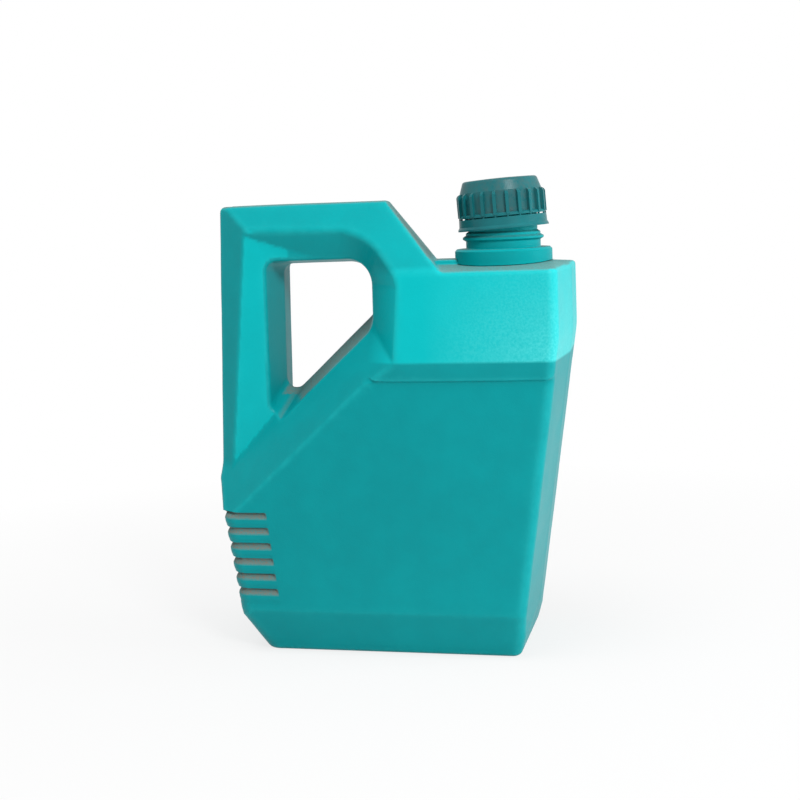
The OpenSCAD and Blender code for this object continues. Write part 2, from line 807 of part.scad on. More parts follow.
// Inside of the cap
module cap_inside() {
    r_band = band_d / 2;
    r_in = skirt_d / 2 - skirt_wall;
    r_top = crown_d / 2 - 0.35;
    rotate_extrude($fn = 96)
        polygon([
            [0, -1],
            [r_band - band_lip, -1],
            [r_band - band_lip, 0.8],
            [r_band, 1.6],
            [r_band, band_h + slit_h],
            [r_in, band_h + slit_h],
            [r_in, cone_z - 0.5],
            [r_top, ceiling_z - liner_t - 0.6],
            [r_top, ceiling_z],
            [0, ceiling_z]
        ]);
}

// Slit over the tamper band, crossed by one bridge beside every rib
module slit() {
    difference() {
        translate([0, 0, band_h])
            cylinder(h = slit_h, r = rib_d / 2 + 2, $fn = 96);
        for (i = [0:rib_n - 1])
            rotate([0, 0, 360 * (i + 0.5) / rib_n])
                translate([band_d / 2 - 0.9, -bridge_w / 2, band_h - 1])
                    cube([1.7, bridge_w, slit_h + 2]);
    }
}

module cap() {
    color([0.12, 0.42, 0.43])
        on_cap_axis() {
            difference() {
                union() {
                    cap_outside();
                    cap_ribs();
                }
                cap_inside();
                slit();
            }
            intersection() {
                cap_threads();
                cylinder(h = cap_h - 1, r = skirt_d / 2 - 0.3, $fn = 96);
            }
        }
}

module cap_liner() {
    color([0.9, 0.9, 0.88])
        on_cap_axis()
            translate([0, 0, ceiling_z - fit_gap - liner_t])
                cylinder(h = liner_t, r = crown_d / 2 - 0.35 - fit_gap, $fn = 96);
}

bottle();
cap();
cap_liner();
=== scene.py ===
import math

import bpy
import bmesh
import numpy as np
from mathutils import Matrix, Vector


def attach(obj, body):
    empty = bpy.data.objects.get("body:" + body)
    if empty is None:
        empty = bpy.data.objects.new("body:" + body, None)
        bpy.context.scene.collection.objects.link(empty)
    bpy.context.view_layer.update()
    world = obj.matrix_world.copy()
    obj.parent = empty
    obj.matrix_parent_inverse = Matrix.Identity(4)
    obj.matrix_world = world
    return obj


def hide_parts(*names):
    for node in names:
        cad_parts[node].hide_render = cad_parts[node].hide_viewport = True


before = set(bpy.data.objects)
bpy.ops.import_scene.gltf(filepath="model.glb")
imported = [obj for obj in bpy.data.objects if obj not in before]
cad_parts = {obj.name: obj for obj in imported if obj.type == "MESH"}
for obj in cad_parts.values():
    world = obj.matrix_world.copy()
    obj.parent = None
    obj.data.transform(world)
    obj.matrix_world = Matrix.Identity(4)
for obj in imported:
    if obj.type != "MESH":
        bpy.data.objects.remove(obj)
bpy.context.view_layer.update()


# Camera
# Solved from the level edges of the jug: 1400 px focal length in the 800 px frame.
def add_camera():
    az, el, roll = math.radians(13.45), math.radians(7.96), math.radians(-2.36)
    cam = bpy.data.cameras.new("camera")
    cam.sensor_width = 36.0
    cam.lens = 63.0
    cam.clip_start = 0.01
    ob = bpy.data.objects.new("camera", cam)
    bpy.context.scene.collection.objects.link(ob)
    back = Vector((math.sin(az) * math.cos(el), -math.cos(az) * math.cos(el), math.sin(el)))
    right = Vector((math.cos(az), math.sin(az), 0.0))
    up = back.cross(right)
    rot = Matrix((right, up, back)).transposed() @ Matrix.Rotation(roll, 3, "Z")
    ob.matrix_world = Matrix.Translation((0.2078, -0.8625, 0.2784)) @ rot.to_4x4()
    bpy.context.scene.camera = ob
    return ob


# Distance fields
# A field is (d, g): distance in mm, negative inside, and its unit gradient.
def plane(p, a, b, c, out):
    a, b, c = (np.array(q, float) for q in (a, b, c))
    n = np.cross(b - a, c - a)
    n /= np.linalg.norm(n)
    if n @ np.array(out, float) < 0:
        n = -n
    return n @ p - n @ a, n[:, None]


def along(p, a, b, axis, out):
    step = np.zeros(3)
    step[axis] = 10
    return plane(p, a, b, np.array(a, float) + step, out)


def both(fa, fb, r):
    """Common part of two solids, its convex edge rolled to radius r."""
    (da, ga), (db, gb) = fa, fb
    c = np.clip((ga * gb).sum(0), -0.995, 0.9998)
    u, v, s = da + r, db + r, 1 - c * c
    al, be = (u - c * v) / s, (v - c * u) / s
    ln = np.sqrt(np.maximum((u * u + v * v - 2 * c * u * v) / s, 1e-9))
    rolled = (al > 0) & (be > 0)
    d = np.where(rolled, ln - r, np.maximum(da, db))
    g = np.where(rolled, (al * ga + be * gb) / ln, np.where(da > db, ga, gb))
    return d, g


def either(fa, fb, r):
    """Two solids joined, the inner corner between them filled to radius r."""
    d, g = both((-fa[0], -fa[1]), (-fb[0], -fb[1]), r)
    return -d, -g


def lowest(fields):
    d, g = fields[0]
    g = np.broadcast_to(g, (3, d.size))
    for e, h in fields[1:]:
        g = np.where(e < d, h, g)
        d = np.minimum(d, e)
    return d, g


# Sizes in mm, the same as in the solids
TOP_Z, TOP_Y = 281.4, 17.4
BROW_Z, BROW_Y, CROWN_Z = 238.3, 54.3, 241.4
BLOCK_Y, BLOCK_Z, CREASE_Z, PANEL_Y = 55.4, 184.5, 172.2, 51.3
BAND_A, BAND_B = (-88.5, -PANEL_Y, 98.5), (-7.0, -PANEL_Y, CREASE_Z + 0.6)
SLANT = np.array([BAND_B[0] - BAND_A[0], BAND_B[2] - BAND_A[2]])
SLANT /= np.linalg.norm(SLANT)
HOLE_Y = 28.7
NECK_X = 71.3
SKIN_DEPTH = 3.4
GROOVES = dict(n=6, top=90.6, pitch=9.75, depth=2.5, end_top=-75.8, end_low=-70.5)


def facet_y(z):
    return TOP_Y + (TOP_Z - z) * (BROW_Y - TOP_Y) / (TOP_Z - BROW_Z)


def funnel_planes(p):
    """Faces that lead from the front into the handle opening."""
    out_n = np.array([SLANT[1], -SLANT[0]])
    inner = (BAND_A[0] - out_n[0] * 24.3, -HOLE_Y, BAND_A[2] - out_n[1] * 24.3)
    band = plane(p, BAND_A, BAND_B, inner, (-1, -1, 1))
    grip_in = plane(p, (-87.7, -29.2, 265.2), (-100.4, -29.2, 143.3), (-74.0, -26.0, 207.0), (1, -5, 0))
    side = plane(p, (11.4, -BLOCK_Y, BLOCK_Z), (15.4, -BROW_Y, BROW_Z), (-7.1, -HOLE_Y, 212.0), (-1, -1, 0))
    scoop = []
    for b in np.radians(np.arange(12.5, 90.1, 5.0)):
        c, s = math.cos(b), math.sin(b)
        a = (-23.1 + 17 * c, -HOLE_Y + 8.2 * b / (math.pi / 2), 227.4 + 17 * s)
        z = 231.0 + 33.5 * s
        e = (-20.1 + 33.5 * c, -min(BLOCK_Y, facet_y(z)), z)
        scoop.append(plane(p, a, e, (a[0] - 10 * s, a[1], a[2] + 10 * c), (-c, -1, -s)))
    low = []
    for b in np.radians(np.arange(-8.0, -42.0, -6.0)):
        c, s = math.cos(b), math.sin(b)
        a = (-27.1 + 20 * c, -HOLE_Y, 212.6 + 20 * s)
        low.append(plane(p, a, (12.0, -BLOCK_Y, BLOCK_Z), (a[0] - 10 * s, a[1], a[2] + 10 * c), (-c, -1, -s)))
    return band, grip_in, side, lowest(scoop), lowest(low)


def jug(p):
    """Outside of the blown jug at the points p, a 3 by N array in mm."""
    flip = np.where(p[1] > 0, -1.0, 1.0)
    slope_d, slope_g = plane(p, (-0.9, 0, TOP_Z), (29.1, 0, CROWN_Z), (8.6, -50, TOP_Z), (1, 0, 1))
    slope = slope_d, slope_g * np.stack([np.ones_like(flip), flip, np.ones_like(flip)])
    p = np.stack([p[0], -np.abs(p[1]), p[2]])
    # front: block face, crease, panel, bevels
    block = along(p, (0, -BLOCK_Y, BLOCK_Z), (0, -BROW_Y, BROW_Z), 0, (0, -1, 0))
    panel = along(p, (0, -PANEL_Y, 0), (0, -PANEL_Y, 10), 0, (0, -1, 0))
    foot = along(p, (0, -PANEL_Y, 28.3), (0, 10.5 - PANEL_Y, 0), 0, (0, -1, 0))
    lip = along(p, (0, -BLOCK_Y, BLOCK_Z), (0, -PANEL_Y - 1.3, CREASE_Z), 0, (0, -1, 0))
    ledge = along(p, (0, -PANEL_Y, CREASE_Z), (0, -PANEL_Y - 3, CREASE_Z + 0.9), 0, (0, 0, -1))
    front = both(either(both(lip, ledge, 1.2), panel, 0.9), block, 3.2)
    front = both(front, foot, 6)
    facet = along(p, (0, -TOP_Y, TOP_Z), (0, -BROW_Y, BROW_Z), 0, (0, -1, 0))
    front = both(front, facet, 6)
    # left end
    bevel = along(p, (-83.0, 0, 0), (-97.6, 0, 24.5), 1, (-1, 0, 0))
    rib = along(p, (-97.6, 0, 24.5), (-106.3, 0, 88), 1, (-1, 0, 0))
    chin = along(p, (-106.3, 0, 88), (-113.4, 0, 107), 1, (-1, 0, 0))
    grip = along(p, (-113.4, 0, 120), (-108.4, 0, TOP_Z), 1, (-1, 0, 0))
    low = both(either(rib, chin, 10), bevel, 6)
    s = both(front, low, 11)
    s = both(s, grip, 6)
    # right end
    flare = plane(p, (113.3, 0, 197), (88.2, 0, 24.5), (110.5, -BLOCK_Y, 197), (1, 0, 0))
    end = plane(p, (113.3, 0, 197), (113.3, 0, 0), (110.5, -BLOCK_Y, 197), (1, 0, 0))
    toe = along(p, (80.5, 0, 0), (88.2, 0, 24.5), 1, (1, 0, 0))
    right = both(both(flare, end, 60), toe, 5)
    s = both(s, right, 6.5)
    # top, shoulder and slope
    top = along(p, (0, 0, TOP_Z), (10, 0, TOP_Z), 1, (0, 0, 1))
    crown = along(p, (0, -BROW_Y, BROW_Z), (0, 0, CROWN_Z), 0, (0, 0, 1))
    fall = along(p, (101.6, 0, CROWN_Z), (113.3, 0, 237.6), 1, (0, 0, 1))
    s = both(s, top, 5)
    s = both(s, either(both(crown, fall, 12), slope, 4), 3.6)
    # low web between the slope and the collar
    web_left = along(p, (27, 0, 0), (27, 0, 10), 1, (-1, 0, 0))
    web_right = along(p, (46, 0, 0), (46, 0, 10), 1, (1, 0, 0))
    web_front = along(p, (0, -14, 0), (0, -14, 10), 0, (0, -1, 0))
    web_top = along(p, (0, 0, 243.7), (10, 0, 243.7), 1, (0, 0, 1))
    web_low = along(p, (0, 0, 236), (10, 0, 236), 1, (0, 0, -1))
    web = both(both(web_front, web_top, 1.6), web_low, 1)
    s = either(s, both(both(web_left, web_right, 1), web, 1), 2)
    # grip, its funnel and the opening
    band, grip_in, side, scoop, corner = funnel_planes(p)
    outer = plane(p, (-87.7, -29.2, 265.2), (-100.4, -29.2, 143.3), (-110.6, -13.8, 265.2), (-1, -1, 0))
    s = both(s, either(outer, band, 16), 5)
    fun = either(grip_in, band, 4)
    fun = either(fun, either(side, scoop, 10), 5)
    fun = either(fun, corner, 6)
    s = both(s, fun, 5)
    left = plane(p, (-71.1, 0, 243.4), (-72.7, 0, 170), (-75.5, -HOLE_Y, 243.4), (1, 0, 0))
    roof = plane(p, (0, 0, 243.4), (10, 0, 243.4), (0, -HOLE_Y, 246.3), (0, 0, -1))
    wall = plane(p, (-11.2, 0, 200), (-11.2, 0, 210), (-7.1, -HOLE_Y, 200), (-1, 0, 0))
    sill_a = (-63.4, 0, 164.8)
    sill = plane(p, sill_a, (sill_a[0] + 10 * SLANT[0], 0, sill_a[2] + 10 * SLANT[1]),
                 (sill_a[0] + 9 * SLANT[1], -HOLE_Y, sill_a[2] - 9 * SLANT[0]), (-1, 0, 1))
    hole = either(either(roof, wall, 16), sill, 14)
    hole = either(hole, left, 6.5)
    s = both(s, hole, 3.5)
    # recess under the base
    base = along(p, (0, 0, 0), (10, 0, 0), 1, (0, 0, -1))
    rim_left = along(p, (-61.5, 0, 0), (-61.5, 0, 10), 1, (1, 0, 0))
    rim_right = along(p, (59.7, 0, 0), (59.7, 0, 10), 1, (-1, 0, 0))
    rim_front = along(p, (0, -24.8, 0), (0, -24.8, 10), 0, (0, 1, 0))
    recess = along(p, (0, 0, 3), (10, 0, 3), 1, (0, 0, -1))
    rim = either(either(either(rim_left, rim_right, 6), rim_front, 6), recess, 1.5)
    s = both(s, both(base, rim, 1.5), 4)
    d, g = s
    g = np.broadcast_to(g, (3, d.size)).copy()
    g[1] *= flip
    return d, g


def smooth(t, a, b):
    t = np.clip((t - a) / (b - a), 0, 1)
    return t * t * (3 - 2 * t)


def groove_depth(p):
    """How deep the grip grooves press in at a point."""
    q = GROOVES
    t = (q["top"] - p[2]) / q["pitch"]
    i = np.clip(np.floor(t + 0.12), 0, q["n"] - 1)
    u = t - i
    end = q["end_top"] + (q["end_low"] - q["end_top"]) * i / (q["n"] - 1)
    ledge = np.clip(u / 0.40, 0, 1)
    depth = q["depth"] * (1 - ledge) ** 1.25 * smooth(u, -0.055, 0.01)
    depth = depth + 0.55 * smooth(u, 0.62, 0.93) * smooth(i, q["n"] - 0.6, q["n"] - 1.4) * (u < 0.95)
    lead = 0.55 * smooth(u, -0.2, -0.06) * (u <= 0)
    depth = depth + lead * (i > 0)
    fade = smooth(-p[0], -(end + 3.2 * np.clip(u, 0, 0.4)) - 0.4, -(end + 3.2 * np.clip(u, 0, 0.4)) + 1.4)
    return depth * fade * (t > -0.3) * (t < q["n"])


def warp(p):
    """Slow waves of a blown wall, in mm."""
    w = 0.16 * np.sin(p[0] / 37 + 0.6) * np.sin(p[2] / 43 + 1.1)
    w += 0.09 * np.sin(p[0] / 17 + p[2] / 23) * np.cos(p[2] / 19 - p[1] / 15 + 0.4)
    return w


def jug_full(p):
    d, g = jug(p)
    near = np.abs(d) < 12
    depth = groove_depth(p)
    seam = 0.22 * np.exp(-(p[1] / 0.7) ** 2) * (p[2] > 4)
    return d + (depth + (warp(p) + 0.45) * smooth(p[2], 3, 20) - seam) * near, g


def jug_inner(p):
    """Inside of the blown wall, below the plain outside."""
    d, g = jug(p)
    return d + SKIN_DEPTH, g


def hole_cut(d, p, radius):
    """Opens the shoulder under the collar."""
    r = np.hypot(p[0] - NECK_X, p[1])
    return np.where(p[2] > 225, np.maximum(d, radius - r), d)


def axis_steps(spans):
    out = [spans[0][0]]
    for lo, hi, h in spans:
        n = max(1, round((hi - lo) / h))
        out += list(lo + (hi - lo) * (np.arange(1, n + 1) / n))
    return np.array(out)


def nets(dist, xs, ys, zs):
    """Surface nets on a grid with uneven steps: vertices and quads, turned outwards."""
    ins = dist < 0
    nx, ny, nz = (n - 1 for n in dist.shape)
    cnt = np.zeros((nx, ny, nz), np.int8)
    pos = np.zeros((nx, ny, nz, 3), np.float32)
    hit = np.zeros((nx, ny, nz), np.int16)
    for i in (0, 1):
        for j in (0, 1):
            for k in (0, 1):
                cnt += ins[i:nx + i, j:ny + j, k:nz + k]
    grids = [xs, ys, zs]
    quads = []
    live = (cnt > 0) & (cnt < 8)
    idx = -np.ones(live.shape, np.int64)
    idx[live] = np.arange(live.sum())
    for ax in range(3):
        lo = [slice(None)] * 3
        hi = [slice(None)] * 3
        lo[ax], hi[ax] = slice(0, -1), slice(1, None)
        a, b = dist[tuple(lo)], dist[tuple(hi)]
        cross = (a < 0) != (b < 0)
        e = np.argwhere(cross)
        t = a[cross] / (a[cross] - b[cross])
        pt = np.stack([grids[m][e[:, m]] for m in range(3)], 1)
        step = np.diff(grids[ax])[e[:, ax]]
        pt[:, ax] += t * step
        o1, o2 = [m for m in range(3) if m != ax]
        ring = []
        good = np.ones(len(e), bool)
        for s1, s2 in ((0, 0), (1, 0), (1, 1), (0, 1)):
            c = e.copy()
            c[:, o1] -= s1
            c[:, o2] -= s2
            ok = (c >= 0).all(1) & (c < np.array(live.shape)).all(1)
            good &= ok
            cc = c[ok]
            np.add.at(pos, tuple(cc.T), pt[ok])
            np.add.at(hit, tuple(cc.T), 1)
            ring.append(c)
        ring = [idx[tuple(np.clip(c, 0, np.array(live.shape) - 1).T)] for c in ring]
        q = np.stack(ring, 1)[good]
        turn = (a[cross] < 0)[good]
        if ax == 1:
            turn = ~turn
        q = np.where(turn[:, None], q, q[:, ::-1])
        quads.append(q)
    v = pos[live] / hit[live][:, None]
    return v.astype(float), np.concatenate(quads)


def field_normals(fn, v, h=0.25):
    n = np.empty_like(v)
    for m in range(3):
        e = np.zeros((3, 1))
        e[m] = h
        n[:, m] = fn(v.T + e)[0] - fn(v.T - e)[0]
    return n / np.maximum(np.linalg.norm(n, axis=1, keepdims=True), 1e-9)


def settle(fn, v, steps=3):
    for _ in range(steps):
        d, g = fn(v.T)
        v = v - (np.clip(d, -1.5, 1.5) * g).T
    return v


def mesh_object(name, v, faces):
    me = bpy.data.meshes.new(name)
    me.from_pydata((v * 0.001).tolist(), [], faces.tolist() if hasattr(faces, "tolist") else faces)
    me.validate()
    me.update()
    ob = bpy.data.objects.new(name, me)
    bpy.context.scene.collection.objects.link(ob)
    return ob


def keep_modifiers(ob):
    dg = bpy.context.evaluated_depsgraph_get()
    me = bpy.data.meshes.new_from_object(ob.evaluated_get(dg))
    ob.modifiers.clear()
    old = ob.data
    ob.data = me
    me.name = old.name
    bpy.data.meshes.remove(old)


def sampled(fn, xs, ys, zs, radius):
    """Vertices and quads of a field on a grid, with the round hole under the collar."""
    grid = np.meshgrid(xs, ys, zs, indexing="ij")
    flat = np.stack([g.ravel() for g in grid])
    d = np.concatenate([hole_cut(fn(part)[0], part, radius) for part in np.array_split(flat, 24, axis=1)])
    v, q = nets(d.reshape(grid[0].shape), xs, ys, zs)
    return settle(fn, v), q


def relief(fn, v, n, reach=2.5):
    """How strongly a convex edge turns at each vertex."""
    side = np.cross(n, np.where(np.abs(n[:, 2:]) < 0.9, (0.0, 0.0, 1.0), (1.0, 0.0, 0.0)))
    side /= np.linalg.norm(side, axis=1, keepdims=True)
    other = np.cross(n, side)
    d = sum(fn((v + k * reach * t).T)[0] for t in (side, other) for k in (-1, 1))
    return (d - 4 * fn(v.T)[0]) / reach ** 2


def blown_body():
    xs = axis_steps([(-117, -110, 1.75), (-110, -66, 1.3), (-66, 117, 1.75)])
    ys = axis_steps([(-59, 59, 1.7)])
    zs = axis_steps([(-3, 33, 1.7), (33, 95, 0.9), (95, 167, 1.75), (167, 190, 0.75), (190, 285, 1.75)])
    v, q = sampled(jug_full, xs, ys, zs, 28.6)
    ob = mesh_object("jug_body", v, q)
    m = ob.modifiers.new("thin", "DECIMATE")
    m.ratio = 0.5
    keep_modifiers(ob)
    me = ob.data
    co = np.empty(len(me.vertices) * 3)
    me.vertices.foreach_get("co", co)
    v = settle(jug_full, co.reshape(-1, 3) * 1000, 2)
    me.vertices.foreach_set("co", (v * 0.001).ravel())
    n = field_normals(jug_full, v)
    me.polygons.foreach_set("use_smooth", [True] * len(me.polygons))
    me.normals_split_custom_set_from_vertices(n.tolist())
    up = n[:, 2]
    # Vertex colours: red is dust, green the convex edges (partly wear, partly a painted edge highlight), blue
    # a painted highlight on the grip's inner facet.
    lay = me.color_attributes.new("marks_and_painted_light", "FLOAT_COLOR", "POINT")
    in_hole = (np.abs(v[:, 1]) < 27) & (v[:, 0] > -75) & (v[:, 0] < -8) & (v[:, 2] > 160) & (v[:, 2] < 245)
    sill = in_hole * smooth(up, 0.45, 0.62)
    slope = smooth(n[:, 0] + up, 1.25, 1.38) * smooth(v[:, 2], 242, 246) * (v[:, 0] < 34)
    flat_top = smooth(up, 0.8, 0.95)
    dust = np.clip(np.maximum.reduce([sill * 0.8, slope * 0.8, flat_top * 0.75]), 0, 1)
    # Convex edges, drawn lighter: partly wear, partly a painted edge highlight.
    edge = np.clip(relief(jug, v, n) * 1.4, 0, 1)
    front_v = np.stack([v[:, 0], -np.abs(v[:, 1]), v[:, 2]])
    # Painted highlight: the grip's inner facet, turned towards the key lamp, is marked to be drawn lighter.
    gap, facing = funnel_planes(front_v)[1]
    facing = (np.stack([n[:, 0], -np.abs(n[:, 1]), n[:, 2]]) * facing).sum(0)
    pale = (1 - smooth(np.abs(gap), 0.8, 2.0)) * smooth(facing, 0.95, 0.985) * (v[:, 0] < -60)
    col = np.stack([dust, edge, pale, np.ones_like(dust)], 1)
    lay.data.foreach_set("color", col.ravel())
    return ob


def inner_skin():
    xs = axis_steps([(-117, 117, 3.6)])
    ys = axis_steps([(-59, 59, 3.5)])
    zs = axis_steps([(-3, 285, 3.6)])
    v, q = sampled(jug_inner, xs, ys, zs, 28.0)
    ob = mesh_object("jug_inside", v, q[:, ::-1])
    ob.data.polygons.foreach_set("use_smooth", [True] * len(ob.data.polygons))
    n = field_normals(jug_inner, v)
    ob.data.normals_split_custom_set_from_vertices((-n).tolist())
    return ob


def cad_faces(name, node, keep):
    """A copy of the faces of a CAD node that keep() picks by centre and normal, in mm."""
    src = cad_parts[node]
    bm = bmesh.new()
    bm.from_mesh(src.data)
    bm.transform(src.matrix_world)
    bm.faces.ensure_lookup_table()
    c = np.array([f.calc_center_median() for f in bm.faces]) * 1000
    n = np.array([f.normal for f in bm.faces])
    mask = keep(c, n)
    bmesh.ops.delete(bm, geom=[f for f, k in zip(bm.faces, mask) if not k], context="FACES")
    me = bpy.data.meshes.new(name)
    bm.to_mesh(me)
    bm.free()
    ob = bpy.data.objects.new(name, me)
    bpy.context.scene.collection.objects.link(ob)
    return ob


# Materials
def nodes_of(name):
    mat = bpy.data.materials.new(name)
    mat.use_nodes = True
    nt = mat.node_tree
    nt.nodes.clear()
    out = nt.nodes.new("ShaderNodeOutputMaterial")
    bsdf = nt.nodes.new("ShaderNodeBsdfPrincipled")
    nt.links.new(bsdf.outputs[0], out.inputs[0])
    return mat, nt, bsdf


def node(nt, kind, **values):
    n = nt.nodes.new(kind)
    for key, val in values.items():
        if key in n.inputs:
            n.inputs[key].default_value = val
        else:
            setattr(n, key, val)
    return n


def noise(nt, co, scale, detail=2.0, rough=0.5):
    n = node(nt, "ShaderNodeTexNoise")
    n.inputs["Scale"].default_value = scale
    n.inputs["Detail"].default_value = detail
    n.inputs["Roughness"].default_value = rough
    nt.links.new(co, n.inputs["Vector"])
    return n.outputs["Fac"]


def remap(nt, src, a, b, lo, hi):
    n = node(nt, "ShaderNodeMapRange")
    for i, val in enumerate((a, b, lo, hi)):
        n.inputs[i + 1].default_value = val
    nt.links.new(src, n.inputs[0])
    return n.outputs[0]


def math_node(nt, op, a, b):
    n = node(nt, "ShaderNodeMath", operation=op)
    for i, val in enumerate((a, b)):
        if isinstance(val, (int, float)):
            n.inputs[i].default_value = val
        else:
            nt.links.new(val, n.inputs[i])
    return n.outputs[0]


def mix_color(nt, fac, a, b, blend="MIX"):
    n = node(nt, "ShaderNodeMix", data_type="RGBA", blend_type=blend)
    for sock, val in ((n.inputs[0], fac), (n.inputs[6], a), (n.inputs[7], b)):
        if isinstance(val, (int, float)):
            sock.default_value = val
        elif isinstance(val, tuple):
            sock.default_value = (*val, 1.0)
        else:
            nt.links.new(val, sock)
    return n.outputs[2]


def groove_dust(nt, sep):
    """Dust on the slanted ledges of the grip grooves."""
    q = GROOVES
    below = math_node(nt, "SUBTRACT", q["top"] * 0.001, sep.outputs[2])
    t = math_node(nt, "DIVIDE", below, q["pitch"] * 0.001)
    u = math_node(nt, "FRACT", math_node(nt, "ADD", t, 0.06), 0.0)
    edge = math_node(nt, "ADD", math_node(nt, "MULTIPLY", t, 0.00106), q["end_top"] * 0.001 + 0.0004)
    inside = remap(nt, math_node(nt, "SUBTRACT", sep.outputs[0], edge), -0.0006, 0.0004, 1.0, 0.0)
    band = math_node(nt, "MULTIPLY", remap(nt, u, 0.0, 0.05, 0.0, 1.0), remap(nt, u, 0.34, 0.50, 1.0, 0.0))
    rows = math_node(nt, "MULTIPLY", remap(nt, t, -0.08, -0.04, 0.0, 1.0), remap(nt, t, 5.5, 5.55, 1.0, 0.0))
    return math_node(nt, "MULTIPLY", math_node(nt, "MULTIPLY", band, rows), inside)


def hdpe(name, light, dark, dusty):
    """Satin blown polyethylene: slow tone changes, lighter towards the top, fine grain, a little dust on what
    faces up, and painted highlights: the block face above the crease is drawn lighter, and with dusty also
    the grip's inner facet, a grainy patch on the block and the convex edges, the edges partly as wear.
    """
    mat, nt, bsdf = nodes_of(name)
    co = node(nt, "ShaderNodeTexCoord").outputs["Object"]
    slow = remap(nt, noise(nt, co, 9.0, 2.0), 0.3, 0.7, 0.0, 1.0)
    mid = remap(nt, noise(nt, co, 60.0, 3.0), 0.35, 0.65, 0.0, 1.0)
    grain = noise(nt, co, 1500.0, 2.0, 0.6)
    pits = noise(nt, co, 420.0, 2.0, 0.6)
    sep = node(nt, "ShaderNodeSeparateXYZ")
    nt.links.new(co, sep.inputs[0])
    # Painted highlight: the tone is raised over the block above its lower edge and over the right end of the
    # shoulder, much less on the shoulder's top.
    step = math_node(nt, "MULTIPLY", remap(nt, sep.outputs[2], 0.1832, 0.1848, 0.0, 0.66),
                     remap(nt, sep.outputs[0], -0.008, 0.012, 0.0, 1.0))
    step = math_node(nt, "MULTIPLY", step, remap(nt, sep.outputs[2], 0.236, 0.242, 1.0, 0.15))
    rise = remap(nt, sep.outputs[2], 0.10, 0.27, 0.0, 0.14)
    tone = math_node(nt, "ADD", math_node(nt, "ADD", step, rise), math_node(nt, "MULTIPLY", slow, 0.12))
    tone = math_node(nt, "ADD", tone, math_node(nt, "MULTIPLY", mid, 0.06))
    if dusty:
        marks_and_painted_light = node(nt, "ShaderNodeSeparateColor")
        att = node(nt, "ShaderNodeAttribute", attribute_name="marks_and_painted_light")
        nt.links.new(att.outputs["Color"], marks_and_painted_light.inputs[0])
        # Painted highlight: the marked grip facet is drawn lighter.
        tone = math_node(nt, "ADD", tone, math_node(nt, "MULTIPLY", marks_and_painted_light.outputs[2], 0.5))
    col = mix_color(nt, tone, dark, light)
    if dusty:
        dust = math_node(nt, "MAXIMUM", marks_and_painted_light.outputs[0], groove_dust(nt, sep))
        patchy = remap(nt, noise(nt, co, 160.0, 3.0), 0.35, 0.65, 0.35, 0.7)
        # Lighter convex edges: partly wear, partly a painted edge highlight.
        scuff_and_edge_highlight = math_node(nt, "MULTIPLY", marks_and_painted_light.outputs[1], patchy)
        col = mix_color(nt, scuff_and_edge_highlight, col, (0.03, 0.56, 0.57))
        # Painted highlight: a lighter, finely grained patch on the right and lower part of the block face.
        painted_highlight = math_node(nt, "MULTIPLY", step, remap(nt, sep.outputs[0], 0.03, 0.105, 0.0, 1.0))
        painted_highlight = math_node(nt, "MULTIPLY", painted_highlight, remap(nt, sep.outputs[2], 0.19, 0.235, 1.0, 0.35))
        fine = remap(nt, noise(nt, co, 700.0, 3.0, 0.6), 0.35, 0.65, 0.4, 1.0)
        painted_highlight = math_node(nt, "MULTIPLY", painted_highlight, fine)
        col = mix_color(nt, painted_highlight, col, (0.10, 0.70, 0.70))
    else:
        turned = node(nt, "ShaderNodeSeparateXYZ")
        nt.links.new(node(nt, "ShaderNodeNewGeometry").outputs["Normal"], turned.inputs[0])
        dust = remap(nt, turned.outputs[2], 0.75, 0.98, 0.0, 0.55)
    speck = remap(nt, noise(nt, co, 900.0, 4.0, 0.7), 0.38, 0.62, 0.45, 1.0)
    dust = math_node(nt, "MULTIPLY", dust, speck)
    col = mix_color(nt, dust, col, (0.20, 0.185, 0.155))
    nt.links.new(col, bsdf.inputs["Base Color"])
    ro = math_node(nt, "ADD", math_node(nt, "MULTIPLY", mid, 0.05), 0.33)
    ro = math_node(nt, "ADD", ro, math_node(nt, "MULTIPLY", dust, 0.4))
    nt.links.new(ro, bsdf.inputs["Roughness"])
    bsdf.inputs["Specular IOR Level"].default_value = 0.12
    h = math_node(nt, "ADD", math_node(nt, "MULTIPLY", grain, 0.5), math_node(nt, "MULTIPLY", pits, 0.7))
    bump = node(nt, "ShaderNodeBump")
    bump.inputs["Strength"].default_value = 0.28
    bump.inputs["Distance"].default_value = 0.00035
    nt.links.new(h, bump.inputs["Height"])
    nt.links.new(bump.outputs[0], bsdf.inputs["Normal"])
    return mat


